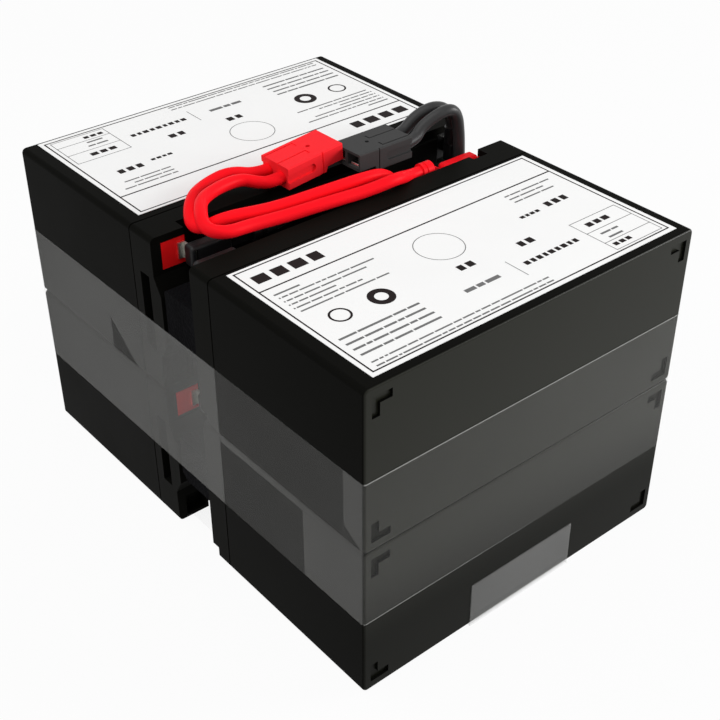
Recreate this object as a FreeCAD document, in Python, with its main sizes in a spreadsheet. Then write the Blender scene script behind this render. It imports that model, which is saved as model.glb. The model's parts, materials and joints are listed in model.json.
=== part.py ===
"""A replacement battery cartridge for an uninterruptible power supply.

Four sealed lead-acid batteries lie on their wide sides in two stacks of two.
Their lids face each other across a gap that holds the wiring, a clear tape
band holds the stacks together, and a red and a grey connector lie on top.

Millimetres. +X runs along the batteries, -Y is the front and +Z is up. The
origin is the middle of the underside. Each battery is drawn in a frame of its
own: X along it towards its positive end, Y from its bottom to its lid, and Z
up from the wide side that it lies on, with both terminals near the top.
"""
import FreeCAD
import Part
import Sketcher
import math
import os
import re
from FreeCAD import Placement, Rotation, Vector

SIZES = {
    # battery case
    "BatteryLength": 151.0,
    "BatteryWidth": 65.0,
    "CaseHeight": 80.0,
    "CornerRound": 2.0,
    "FootRound": 1.0,
    "MarkLength": 8.1,
    "MarkLeg": 3.2,
    "MarkInsetEnd": 3.1,
    "MarkInsetSide": 3.6,
    "MarkDepth": 1.0,
    # lid
    "SeamHeight": 0.6,
    "SeamInset": 0.7,
    "LidHeight": 10.7,
    "BossLength": 14.0,
    "BossHeight": 2.9,
    "LugHeight": 3.8,
    "LugFootInset": 15.4,
    "LugTopInset": 22.0,
    "SlotLength": 32.0,
    "SlotHeight": 5.8,
    "SlotBelowTop": 0.3,
    "SlotDepth": 4.0,
    "BlindLength": 9.0,
    "BlindWidth": 9.2,
    "BlindInsetEnd": 3.8,
    "BlindInsetSide": 1.6,
    "BlindDepth": 4.0,
    "NotchLength": 10.5,
    "NotchWidth": 5.5,
    "NotchDepth": 3.7,
    "PocketLength": 7.5,
    "PocketWidth": 15.0,
    "PocketDepth": 2.5,
    # vent cover
    "CoverInsetEnd": 10.5,
    "CoverInsetSide": 4.0,
    "CoverInsetTop": 3.7,
    "CoverGap": 1.0,
    "CoverSeat": 0.8,
    "CoverRise": 1.5,
    "CoverClearance": 0.1,
    # terminals
    "BaseLength": 9.8,
    "BaseWidth": 10.7,
    "BaseInsetSide": 3.0,
    "NegativeBaseInset": 3.1,
    "BaseClearance": 0.1,
    "TabThickness": 0.8,
    "TabWidth": 6.35,
    "TabHeight": 7.9,
    "TabFootLength": 3.0,
    "TabHoleDiameter": 1.8,
    "TabHoleFromTip": 3.0,
    "PositiveTabInset": 13.3,
    "NegativeTabInset": 8.9,
    # insulated receptacles
    "SleeveLength": 17.4,
    "SleeveThickness": 5.6,
    "SleeveHeight": 8.6,
    "SleeveRound": 1.4,
    "SleeveTabPlace": 2.2,
    "SleeveTabClearance": 0.1,
    "NeckLength": 9.8,
    "NeckSize": 3.2,
    "BarrelDiameter": 6.4,
    "BarrelLength": 5.2,
    "BarrelRingDepth": 0.3,
    "BarrelRingWidth": 0.8,
    "BarrelRingPlace": 3.0,
    "LeadBoreDepth": 4.0,
    "LeadBoreClearance": 0.1,
    "NearPositiveSleeveRise": 1.9,
    "FarPositiveSleeveRise": 3.3,
    "NegativeSleeveRise": 3.2,
    "BentBarrelUp": 7.4,
    "BentBarrelDown": 3.5,
    "UprightSleeveHeight": 9.0,
    "UprightBarrelLength": 6.0,
    "UprightTabOffset": 1.6,
    # pack
    "LidGap": 27.2,
    "StrapThickness": 0.4,
    "FilmThickness": 0.4,
    "StrapWidth": 52.0,
    "StrapShift": 1.0,
    "StrapUpturn": 20.0,
    "FilmLength": 138.0,
    "FilmWidth": 60.0,
    "BandThickness": 0.3,
    "BandBottom": 33.5,
    "BandBelowTop": 35.5,
    "LabelThickness": 0.15,
    "LabelLength": 139.5,
    "LabelWidth": 75.0,
    "NearLabelInset": 3.7,
    "NearLabelShift": 0.8,
    "FarLabelInset": 1.7,
    "FarLabelShift": 0.7,
    # spacers between the lids
    "SpacerLength": 80.5,
    "SpacerHeight": 20.4,
    "SpacerFarEdge": 4.2,
    "SpacerRound": 0.8,
    "SpacerDrop": 4.95,
    "SpacerCornerCut": 3.0,
    # connector housings
    "HousingLength": 26.3,
    "HousingWidth": 16.0,
    "HousingHeight": 9.0,
    "HousingEdge": 0.6,
    "HoodLength": 8.2,
    "HoodStep": 2.0,
    "HoodStepSlope": 0.8,
    "MouthWidth": 6.4,
    "MouthHeight": 4.9,
    "MouthDepth": 11.0,
    "MouthRoof": 1.0,
    "WirePitch": 7.9,
    "WireRise": -0.4,
    "WireBoreDepth": 6.0,
    "GrooveLength": 13.1,
    "GrooveWidth": 3.4,
    "GrooveDepth": 0.8,
    "GrooveRise": 0.1,
    "SeamSlitWidth": 0.5,
    "SeamSlitDepth": 0.5,
    "SeamSlitPlace": 3.4,
    "PinHoleDiameter": 1.8,
    "PinHoleDepth": 1.5,
    "PinHolePlace": 2.9,
    "TopGrooveWidth": 0.6,
    "TopGrooveDepth": 0.4,
    "TopGrooveOffset": 2.4,
    "TopGrooveEnd": 0.4,
    "TopGrooveLeg": 2.9,
    "ContactWidth": 5.2,
    "ContactThickness": 1.0,
    "ContactLength": 9.5,
    "ContactSetback": 1.2,
    # leads
    "LeadDiameter": 4.8,
    "LeadStraight": 5.0,
}

# heights above the battery's bottom, along its own Y
LID_FOOT = "(CaseHeight + SeamHeight)"
LID_TOP = "(CaseHeight + SeamHeight + LidHeight)"
BOSS_TOP = f"({LID_TOP} + BossHeight)"
SEAT = f"({LID_TOP} - PocketDepth)"

# lengthways places in the battery
END = "(BatteryLength / 2)"
BOSS_START = f"({END} - BossLength)"
POSITIVE_TAB = f"({END} - PositiveTabInset)"
NEGATIVE_TAB = f"(NegativeTabInset - {END})"
NEGATIVE_BASE = f"(NegativeBaseInset - {END})"

# the terminals lie near the upper long side of the lid
BASE_TOP = "(BatteryWidth - BaseInsetSide)"
BASE_FOOT = "(BatteryWidth - BaseInsetSide - BaseWidth)"
TAB_LEVEL = "(BatteryWidth - BaseInsetSide - BaseWidth / 2)"

# the pack
HALF_PACK = f"({LID_TOP} + LidGap / 2)"
LOWER = "(StrapThickness + FilmThickness)"
UPPER = "(StrapThickness + FilmThickness + BatteryWidth)"
PACK_TOP = "(StrapThickness + FilmThickness + BatteryWidth * 2)"

# heights in these places and bends are above the upper faces of the pack
HOUSING_PLACES = {
    # centre, then yaw, pitch and roll in degrees; the wires leave along -X
    "red_housing": ((-4.0, 16.3, 6.0), (1.9, -4.7, 0.7)),
    "grey_housing": ((22.75, 7.3, 4.8), (180.8, -0.5, 1.4)),
}

# lead, its housing, side of the housing, its receptacle, and the bends between
LEADS = {
    "red_lead_upper": ("red_housing", -1, "near_upper_positive_flag", [
        (-25.6, 15.2, 3.9), (-32.1, 19.2, 6.0), (-51.1, 13.7, 7.3),
        (-58.6, 3.7, 7.2), (-61.7, -3.7, 5.4), (-57.4, -9.1, 4.4),
        (-45.2, -8.0, 3.0), (-32.1, -9.3, 2.3), (-14.1, -11.9, 2.8),
        (3.0, -13.7, 2.5), (15.8, -15.6, 4.2),
    ]),
    "red_lead_lower": ("red_housing", 1, "near_lower_positive_flag", [
        (-30.0, 27.0, 5.1), (-41.8, 26.4, 3.8), (-52.0, 20.0, 4.2),
        (-59.8, 9.1, 1.4), (-58.3, 3.6, 1.2), (-50.3, -0.3, 4.6),
        (-33.1, -3.1, 3.0), (-14.9, -5.3, 3.6), (4.8, -8.2, 4.7),
        (17.5, -6.2, 2.0), (26.0, -4.4, -7.3), (27.5, -5.2, -21.3),
        (13.0, -6.2, -43.8), (12.6, -6.0, -62.8),
    ]),
    "black_lead_upper": ("grey_housing", -1, "far_upper_negative_flag", [
        (47.9, 11.4, 10.3), (57.2, 8.5, 13.4),
    ]),
    "black_lead_lower": ("grey_housing", 1, "far_lower_negative_flag", [
        (45.8, 5.2, 8.8), (56.4, 2.5, 13.9), (62.0, 2.5, 10.9), (63.3, 2.0, 1.9),
        (63.4, 1.4, -10.0), (63.9, 1.6, -26.0), (64.5, 4.0, -41.8),
    ]),
}

# jumper, the receptacles at its ends, and its bends at the upper level
JUMPERS = {
    "jumper_upper": ("far_upper_positive_flag", "near_upper_negative_flag"),
    "jumper_lower": ("far_lower_positive_flag", "near_lower_negative_flag"),
}
JUMPER_BENDS = [(-4.0, 9.0), (14.0, 9.0), (14.0, -9.0), (-5.0, -9.0)]

# an arc takes up at most this share of the shorter run beside it
ARC_SHARE = 0.45

doc = FreeCAD.newDocument("battery_cartridge")


def make_sheet():
    """Put the driving sizes in a spreadsheet, one aliased cell each."""
    sheet = doc.addObject("Spreadsheet::Sheet", "Sizes")
    for row, (alias, value) in enumerate(SIZES.items(), start=1):
        sheet.set(f"A{row}", alias)
        sheet.set(f"B{row}", str(value))
        sheet.setAlias(f"B{row}", alias)
    doc.recompute()
    return sheet


sizes = make_sheet()


def value(text):
    """Work out an expression on the sheet's aliases."""
    return float(sizes.evalExpression(str(text)))


def bind(item, path, text):
    """Tie a property to an expression on the sheet's aliases."""
    full = re.sub(r"[A-Z][A-Za-z]+", lambda word: "Sizes." + word.group(0), str(text))
    item.setExpression(path, full)


def new_body(name):
    """Start a body whose name is its node's name."""
    body = doc.addObject("PartDesign::Body", name)
    body.Label = name
    return body


def new_sketch(body, name, plane, offset):
    """Lay a sketch on one of the body's origin planes, moved along its normal."""
    sketch = body.newObject("Sketcher::SketchObject", name)
    origin_plane = [item for item in body.Origin.OriginFeatures if item.Role == plane][0]
    sketch.AttachmentSupport = [(origin_plane, "")]
    sketch.MapMode = "FlatFace"
    bind(sketch, "AttachmentOffset.Base.z", offset)
    return sketch


def pin_point(sketch, geometry, corner, across, up):
    """Fix a point of a sketch at two expressions from the sketch's origin."""
    for kind, text in (("DistanceX", across), ("DistanceY", up)):
        index = sketch.addConstraint(
            Sketcher.Constraint(kind, -1, 1, geometry, corner, value(text)))
        bind(sketch, f"Constraints[{index}]", text)


def add_outline(sketch, points):
    """Add a closed outline of straight sides through the given points."""
    places = [Vector(value(across), value(up), 0) for across, up in points]
    first = sketch.GeometryCount
    for index, place in enumerate(places):
        following = places[(index + 1) % len(places)]
        sketch.addGeometry(Part.LineSegment(place, following))
    for index in range(len(points)):
        following = first + (index + 1) % len(points)
        sketch.addConstraint(Sketcher.Constraint("Coincident", first + index, 2, following, 1))
    for index, (across, up) in enumerate(points):
        pin_point(sketch, first + index, 1, across, up)


def add_rectangle(sketch, left, right, bottom, top):
    """Add a rectangle between four expressions."""
    add_outline(sketch, [(left, bottom), (right, bottom), (right, top), (left, top)])


def add_circle(sketch, across, up, diameter):
    """Add a circle by its centre and diameter."""
    centre = Vector(value(across), value(up), 0)
    index = sketch.addGeometry(Part.Circle(centre, Vector(0, 0, 1), value(diameter) / 2))
    pin_point(sketch, index, 3, across, up)
    size = sketch.addConstraint(Sketcher.Constraint("Diameter", index, value(diameter)))
    bind(sketch, f"Constraints[{size}]", diameter)


def pad(body, name, sketch, length, reverse=False, midplane=False):
    """Add material from a sketch."""
    feature = body.newObject("PartDesign::Pad", name)
    feature.Profile = sketch
    feature.Reversed = reverse
    feature.Midplane = midplane
    bind(feature, "Length", length)
    return feature


def pocket(body, name, sketch, depth=None, reverse=False):
    """Cut a sketch into the body, to a depth or right through."""
    feature = body.newObject("PartDesign::Pocket", name)
    feature.Profile = sketch
    feature.Reversed = reverse
    if depth is None:
        feature.Type = "ThroughAll"
    else:
        bind(feature, "Length", depth)
    return feature


def round_edges(body, name, base, chosen, radius):
    """Fillet the edges of a feature that a test picks."""
    doc.recompute()
    edges = [f"Edge{number}" for number, edge in enumerate(base.Shape.Edges, start=1)
             if chosen(edge)]
    feature = body.newObject("PartDesign::Fillet", name)
    feature.Base = (base, edges)
    bind(feature, "Radius", radius)
    return feature


def runs_along(edge, direction):
    """Tell whether an edge is straight and parallel to a direction."""
    if not isinstance(edge.Curve, Part.Line):
        return False
    return abs(abs(edge.Curve.Direction.dot(Vector(*direction))) - 1) < 1e-6


def edge_middle(edge):
    """Give the middle of an edge's box."""
    return edge.BoundBox.Center


def place(body, base, rotation=Rotation()):
    """Set where a body lies, its place tied to the sheet."""
    body.Placement = Placement(Vector(*[value(text) for text in base]), rotation)
    for axis, text in zip("xyz", base):
        bind(body, f"Placement.Base.{axis}", text)


def battery_rectangle(sketch, inset="0"):
    """Add the battery's end-to-end outline, drawn in by an inset."""
    add_rectangle(sketch, f"{inset} - {END}", f"{END} - {inset}", inset,
                  f"BatteryWidth - {inset}")


def make_case(name):
    """Case: a moulded box with four angle marks sunk in its bottom."""
    body = new_body(name)
    sketch = new_sketch(body, "case_outline", "XZ_Plane", "0")
    battery_rectangle(sketch)
    block = pad(body, "case_block", sketch, "CaseHeight", reverse=True)
    corners = round_edges(body, "case_corners", block,
                          lambda edge: runs_along(edge, (0, 1, 0)), "CornerRound")
    round_edges(body, "case_foot", corners,
                lambda edge: edge.BoundBox.YMax < 1e-6, "FootRound")
    marks = new_sketch(body, "foot_marks", "XZ_Plane", "0")
    for end in ("1", "-1"):
        for low in (True, False):
            outer = f"{end} * ({END} - MarkInsetEnd)"
            inner = f"{end} * ({END} - MarkInsetEnd - MarkLength)"
            leg = f"{end} * ({END} - MarkInsetEnd - MarkLeg)"
            edge, turn, tip = [
                f"MarkInsetSide + {part}" if low else f"BatteryWidth - MarkInsetSide - {part}"
                for part in ("0", "MarkLeg", "MarkLength")]
            add_outline(marks, [(outer, edge), (inner, edge), (inner, turn),
                                (leg, turn), (leg, tip), (outer, tip)])
    body.Tip = pocket(body, "foot_mark_cuts", marks, "MarkDepth")
    return body


def cover_outline(clearance):
    """Corners of the vent cover's outline, cut away beside the negative base."""
    left = f"CoverInsetEnd - {END} - {clearance}"
    right = f"{BOSS_START} - PocketLength - CoverGap + {clearance}"
    low = f"CoverInsetSide - {clearance}"
    high = f"BatteryWidth - CoverInsetTop + {clearance}"
    cut_end = f"{NEGATIVE_BASE} + BaseLength + CoverGap - {clearance}"
    cut_level = f"{BASE_FOOT} - CoverGap + {clearance}"
    return [(left, low), (right, low), (right, high), (cut_end, high),
            (cut_end, cut_level), (left, cut_level)]


def make_lid(name):
    """Lid: plate, positive boss with its lug, terminal seats and a vent recess."""
    body = new_body(name)
    neck = new_sketch(body, "neck_outline", "XZ_Plane", "-CaseHeight")
    battery_rectangle(neck, "SeamInset")
    pad(body, "neck", neck, "SeamHeight", reverse=True)
    outline = new_sketch(body, "plate_outline", "XZ_Plane", f"-{LID_FOOT}")
    battery_rectangle(outline)
    pad(body, "plate", outline, "LidHeight", reverse=True)
    boss = new_sketch(body, "boss_outline", "XZ_Plane", f"-{LID_TOP}")
    add_rectangle(boss, BOSS_START, END, "0", "BatteryWidth")
    block = pad(body, "boss", boss, "BossHeight", reverse=True)
    seam = value(LID_FOOT)
    round_edges(body, "lid_corners", block,
                lambda edge: runs_along(edge, (0, 1, 0))
                and abs(edge_middle(edge).x) > value(END) - 0.01
                and edge.BoundBox.YMax > seam + 0.01, "CornerRound")
    doc.recompute()
    lug = new_sketch(body, "lug_profile", "YZ_Plane", BOSS_START)
    add_outline(lug, [
        (BOSS_TOP, "LugFootInset"), (f"{BOSS_TOP} + LugHeight", "LugTopInset"),
        (f"{BOSS_TOP} + LugHeight", "BatteryWidth - LugTopInset"),
        (BOSS_TOP, "BatteryWidth - LugFootInset")])
    pad(body, "lug", lug, "BossLength")
    slot = new_sketch(body, "end_slot_outline", "YZ_Plane", END)
    add_rectangle(slot, f"{LID_TOP} - SlotBelowTop - SlotHeight", f"{LID_TOP} - SlotBelowTop",
                  "(BatteryWidth - SlotLength) / 2", "(BatteryWidth + SlotLength) / 2")
    pocket(body, "end_slot", slot, "SlotDepth")
    blind = new_sketch(body, "blind_outline", "XZ_Plane", f"-{BOSS_TOP}")
    add_rectangle(blind, f"{END} - BlindInsetEnd - BlindLength", f"{END} - BlindInsetEnd",
                  "BlindInsetSide", "BlindInsetSide + BlindWidth")
    pocket(body, "blind_recess", blind, "BlindDepth", reverse=True)
    notch = new_sketch(body, "notch_outline", "XZ_Plane", f"-{LID_TOP}")
    add_rectangle(notch, f"-{END}", f"NotchLength - {END}", "0", "NotchWidth")
    pocket(body, "corner_notch", notch, "NotchDepth", reverse=True)
    well = new_sketch(body, "terminal_well_outline", "XZ_Plane", f"-{LID_TOP}")
    add_rectangle(well, f"{BOSS_START} - PocketLength", BOSS_START,
                  "BatteryWidth - PocketWidth", "BatteryWidth")
    pocket(body, "terminal_well", well, "PocketDepth", reverse=True)
    seats = new_sketch(body, "terminal_seat_outlines", "XZ_Plane", f"-{BOSS_TOP}")
    add_rectangle(seats, BOSS_START, f"{BOSS_START} + BaseLength + BaseClearance",
                  f"{BASE_FOOT} - BaseClearance", f"{BASE_TOP} + BaseClearance")
    add_rectangle(seats, f"{NEGATIVE_BASE} - BaseClearance",
                  f"{NEGATIVE_BASE} + BaseLength + BaseClearance",
                  f"{BASE_FOOT} - BaseClearance", f"{BASE_TOP} + BaseClearance")
    pocket(body, "terminal_seats", seats, "BossHeight + PocketDepth", reverse=True)
    recess = new_sketch(body, "cover_recess_outline", "XZ_Plane", f"-{LID_TOP}")
    add_outline(recess, cover_outline("CoverClearance"))
    body.Tip = pocket(body, "cover_recess", recess, "CoverSeat", reverse=True)
    return body


def make_vent_cover(name):
    """Vent cover: the flat plate welded over the six cell vents."""
    body = new_body(name)
    sketch = new_sketch(body, "cover_outline", "XZ_Plane", f"CoverSeat - {LID_TOP}")
    add_outline(sketch, cover_outline("0"))
    plate = pad(body, "cover_plate", sketch, "CoverSeat + CoverRise", reverse=True)
    body.Tip = round_edges(body, "cover_rim", plate,
                           lambda edge: edge.BoundBox.YMin > plate.Shape.BoundBox.YMax - 1e-6,
                           "CoverRise / 3")
    return body


def make_terminal_base(name, start, top):
    """Terminal base: the coloured resin block round a terminal post."""
    body = new_body(name)
    sketch = new_sketch(body, "base_outline", "XZ_Plane", f"-{SEAT}")
    add_rectangle(sketch, start, f"{start} + BaseLength", BASE_FOOT, BASE_TOP)
    body.Tip = pad(body, "base_block", sketch, f"{top} - {SEAT}", reverse=True)
    return body


def make_tab(name, blade, direction, top):
    """Terminal tab: a foot on the base and a blade bent up from it."""
    body = new_body(name)
    profile = new_sketch(body, "tab_profile", "XY_Plane", f"{TAB_LEVEL} - TabWidth / 2")
    near = f"{blade} - {direction} * TabThickness / 2"
    far = f"{blade} + {direction} * TabThickness / 2"
    toe = f"{near} + {direction} * TabFootLength"
    add_outline(profile, [(near, top), (toe, top), (toe, f"{top} + TabThickness"),
                          (far, f"{top} + TabThickness"), (far, f"{top} + TabHeight"),
                          (near, f"{top} + TabHeight")])
    strip = pad(body, "tab_strip", profile, "TabWidth")
    round_edges(body, "tab_bend", strip,
                lambda edge: runs_along(edge, (0, 0, 1))
                and abs(edge_middle(edge).x - value(near)) < 1e-6
                and abs(edge_middle(edge).y - value(top)) < 1e-6, "TabThickness * 0.9")
    doc.recompute()
    hole = new_sketch(body, "tab_hole_outline", "YZ_Plane", f"{blade} - TabThickness")
    add_circle(hole, f"{top} + TabHeight - TabHoleFromTip", TAB_LEVEL, "TabHoleDiameter")
    body.Tip = pocket(body, "tab_hole", hole, "TabThickness * 2", reverse=True)
    return body


def add_sleeve(body, left, right, height):
    """Sleeve round the tab: a rounded block standing off the lid along Y."""
    outline = new_sketch(body, "sleeve_outline", "XZ_Plane", "0")
    add_rectangle(outline, left, right, f"-{height} / 2", f"{height} / 2")
    block = pad(body, "sleeve_block", outline, "SleeveThickness", reverse=True)
    return round_edges(body, "sleeve_rounds", block, lambda edge: True, "SleeveRound")


def add_tab_slot(body):
    """Slot through the sleeve that the tab pushes into."""
    slot = new_sketch(body, "tab_slot_outline", "XZ_Plane", "0")
    add_rectangle(slot, "-TabThickness / 2 - SleeveTabClearance",
                  "TabThickness / 2 + SleeveTabClearance",
                  "-TabWidth / 2 - SleeveTabClearance", "TabWidth / 2 + SleeveTabClearance")
    return pocket(body, "tab_slot", slot)


LEAD_BORE = "LeadDiameter + LeadBoreClearance * 2"
SLEEVE_MIDDLE = "SleeveThickness / 2"


def make_side_flag(name, up="0", down="0"):
    """Receptacle whose barrel leaves sideways, along -X of its own frame.

    The barrel can be bent up along Z and down towards the lid along Y.
    """
    body = new_body(name)
    sleeve_end = "SleeveTabPlace - SleeveLength"
    neck_end = f"{sleeve_end} - NeckLength"
    barrel_level = f"{SLEEVE_MIDDLE} - {down}"
    add_sleeve(body, sleeve_end, "SleeveTabPlace", "SleeveHeight")
    sections = []
    for label, along, level, rise in (
            ("neck_start", f"{sleeve_end} + SleeveRound", SLEEVE_MIDDLE, "0"),
            ("neck_finish", neck_end, barrel_level, up)):
        section = new_sketch(body, label, "YZ_Plane", along)
        add_rectangle(section, f"{level} - NeckSize / 2", f"{level} + NeckSize / 2",
                      f"{rise} - NeckSize / 2", f"{rise} + NeckSize / 2")
        sections.append(section)
    neck = body.newObject("PartDesign::AdditiveLoft", "neck")
    neck.Profile = sections[0]
    neck.Sections = [sections[1]]
    neck.Ruled = True
    barrel = new_sketch(body, "barrel_outline", "YZ_Plane", neck_end)
    add_circle(barrel, barrel_level, up, "BarrelDiameter")
    pad(body, "barrel", barrel, "BarrelLength", reverse=True)
    ring = new_sketch(body, "ring_outline", "YZ_Plane", f"{neck_end} - BarrelRingPlace")
    add_circle(ring, barrel_level, up, "BarrelDiameter")
    add_circle(ring, barrel_level, up, "BarrelDiameter - BarrelRingDepth * 2")
    pocket(body, "barrel_ring", ring, "BarrelRingWidth")
    bore = new_sketch(body, "lead_bore_outline", "YZ_Plane", f"{neck_end} - BarrelLength")
    add_circle(bore, barrel_level, up, LEAD_BORE)
    pocket(body, "lead_bore", bore, "LeadBoreDepth", reverse=True)
    body.Tip = add_tab_slot(body)
    return body


def make_upright_flag(name):
    """Receptacle whose barrel stands up, along +Z of its own frame."""
    body = new_body(name)
    middle = "UprightTabOffset"
    add_sleeve(body, f"{middle} - SleeveThickness / 2", f"{middle} + SleeveThickness / 2",
               "UprightSleeveHeight")
    barrel = new_sketch(body, "barrel_outline", "XY_Plane",
                        "UprightSleeveHeight / 2 - SleeveRound / 2")
    add_circle(barrel, middle, SLEEVE_MIDDLE, "BarrelDiameter")
    pad(body, "barrel", barrel, "UprightBarrelLength + SleeveRound / 2")
    bore = new_sketch(body, "lead_bore_outline", "XY_Plane",
                      "UprightSleeveHeight / 2 + UprightBarrelLength")
    add_circle(bore, middle, SLEEVE_MIDDLE, LEAD_BORE)
    pocket(body, "lead_bore", bore, "LeadBoreDepth")
    body.Tip = add_tab_slot(body)
    return body


def make_battery(stack, level, bottom):
    """One battery with its lid, cover, terminals and the receptacles on them."""
    side = "1" if stack == "near" else "-1"
    turn = Rotation(Vector(0, 0, 1), 0 if stack == "near" else 180)
    base = ("0", f"-{side} * {HALF_PACK}", bottom)
    prefix = f"{stack}_{level}_"
    pieces = [
        make_case(prefix + "case"),
        make_lid(prefix + "lid"),
        make_vent_cover(prefix + "vent_cover"),
        make_terminal_base(prefix + "positive_base", BOSS_START, BOSS_TOP),
        make_terminal_base(prefix + "negative_base", NEGATIVE_BASE, LID_TOP),
        make_tab(prefix + "positive_tab", POSITIVE_TAB, "1", BOSS_TOP),
        make_tab(prefix + "negative_tab", NEGATIVE_TAB, "-1", LID_TOP),
    ]
    for piece in pieces:
        place(piece, base, turn)

    def place_flag(flag, tab, height, own_turn=Rotation()):
        """Seat a receptacle on its tab, at a height above the battery's bottom."""
        spot = (f"{side} * {tab}", f"{side} * ({height} - {HALF_PACK})", f"{bottom} + {TAB_LEVEL}")
        place(flag, spot, turn.multiply(own_turn))

    if stack == "near":
        bent = level == "upper"
        positive = make_side_flag(prefix + "positive_flag", "BentBarrelUp" if bent else "0",
                                  "BentBarrelDown" if bent else "0")
        place_flag(positive, POSITIVE_TAB, f"{BOSS_TOP} + NearPositiveSleeveRise")
        negative = make_side_flag(prefix + "negative_flag")
        place_flag(negative, NEGATIVE_TAB, f"{LID_TOP} + NegativeSleeveRise",
                   Rotation(Vector(0, 1, 0), 180))
    else:
        positive = make_side_flag(prefix + "positive_flag")
        place_flag(positive, POSITIVE_TAB, f"{BOSS_TOP} + FarPositiveSleeveRise")
        negative = make_upright_flag(prefix + "negative_flag")
        place_flag(negative, NEGATIVE_TAB, f"{LID_TOP} + NegativeSleeveRise")
    return pieces + [positive, negative]


def make_label(name, inset, shift):
    """Paper label on a battery's upper wide side."""
    body = new_body(name)
    side = "-1" if name.startswith("near") else "1"
    outline = new_sketch(body, "label_outline", "XY_Plane", PACK_TOP)
    outer = f"{side} * ({HALF_PACK} - {inset})"
    inner = f"{side} * ({HALF_PACK} - {inset} - LabelWidth)"
    add_rectangle(outline, f"{shift} - LabelLength / 2", f"{shift} + LabelLength / 2",
                  outer, inner)
    body.Tip = pad(body, "label_sheet", outline, "LabelThickness")
    return body


def make_band():
    """Clear tape wound once round both stacks."""
    body = new_body("tape_band")
    outline = new_sketch(body, "band_outline", "XY_Plane", f"{LOWER} + BandBottom")
    add_rectangle(outline, f"-{END} - BandThickness", f"{END} + BandThickness",
                  f"-{HALF_PACK} - BandThickness", f"{HALF_PACK} + BandThickness")
    block = pad(body, "band_block", outline, "BatteryWidth * 2 - BandBottom - BandBelowTop")
    outside = round_edges(body, "band_corners", block,
                          lambda edge: runs_along(edge, (0, 0, 1)),
                          "FootRound + BandThickness")
    doc.recompute()
    open_faces = [f"Face{number}" for number, face in enumerate(outside.Shape.Faces, start=1)
                  if abs(abs(face.normalAt(0, 0).z) - 1) < 1e-6]
    wall = body.newObject("PartDesign::Thickness", "band_wall")
    wall.Base = (outside, open_faces)
    wall.Reversed = True
    bind(wall, "Value", "BandThickness")
    body.Tip = wall
    return body


def make_strap():
    """Clear strap under the pack, turned up at the front and the back."""
    body = new_body("bottom_strap")
    profile = new_sketch(body, "strap_profile", "YZ_Plane", "StrapShift - StrapWidth / 2")
    outer = f"({HALF_PACK} + StrapThickness)"
    top = "StrapUpturn + StrapThickness"
    add_outline(profile, [
        (f"-{outer}", "0"), (outer, "0"), (outer, top), (HALF_PACK, top),
        (HALF_PACK, "StrapThickness"), (f"-{HALF_PACK}", "StrapThickness"),
        (f"-{HALF_PACK}", top), (f"-{outer}", top)])
    body.Tip = pad(body, "strap_strip", profile, "StrapWidth")
    return body


def make_gap_film():
    """Clear film that bridges the gap under the lower batteries."""
    body = new_body("gap_film")
    outline = new_sketch(body, "film_outline", "XY_Plane", "StrapThickness")
    add_rectangle(outline, "-FilmLength / 2", "FilmLength / 2", "-FilmWidth / 2",
                  "FilmWidth / 2")
    body.Tip = pad(body, "film_sheet", outline, "FilmThickness")
    return body


def make_spacer(name, bottom, cut_corner):
    """Foam block between the lids, stepped round the near vent cover."""
    body = new_body(name)
    low = f"{bottom} + {TAB_LEVEL} - SleeveHeight / 2 - SpacerDrop - SpacerHeight"
    outline = new_sketch(body, "spacer_outline", "XY_Plane", low)
    lid = "-LidGap / 2"
    cover = "CoverRise - LidGap / 2"
    step = f"CoverInsetEnd - CoverClearance - {END}"
    right = f"SpacerLength - {END}"
    add_outline(outline, [(f"-{END}", lid), (step, lid), (step, cover), (right, cover),
                          (right, "SpacerFarEdge"), (f"-{END}", "SpacerFarEdge")])
    block = pad(body, "spacer_block", outline, "SpacerHeight")
    edge_y = value("SpacerFarEdge") - 0.01
    rounds = round_edges(body, "spacer_rounds", block,
                         lambda edge: runs_along(edge, (1, 0, 0))
                         and edge_middle(edge).y > edge_y, "SpacerRound")
    body.Tip = rounds
    if cut_corner:
        doc.recompute()
        corner = new_sketch(body, "corner_outline", "YZ_Plane", f"-{END}")
        add_outline(corner, [("SpacerFarEdge", low), ("SpacerFarEdge", f"{low} + SpacerCornerCut"),
                             ("SpacerFarEdge - SpacerCornerCut", low)])
        body.Tip = pocket(body, "corner_cut", corner, "SpacerLength", reverse=True)
    return body


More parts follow.
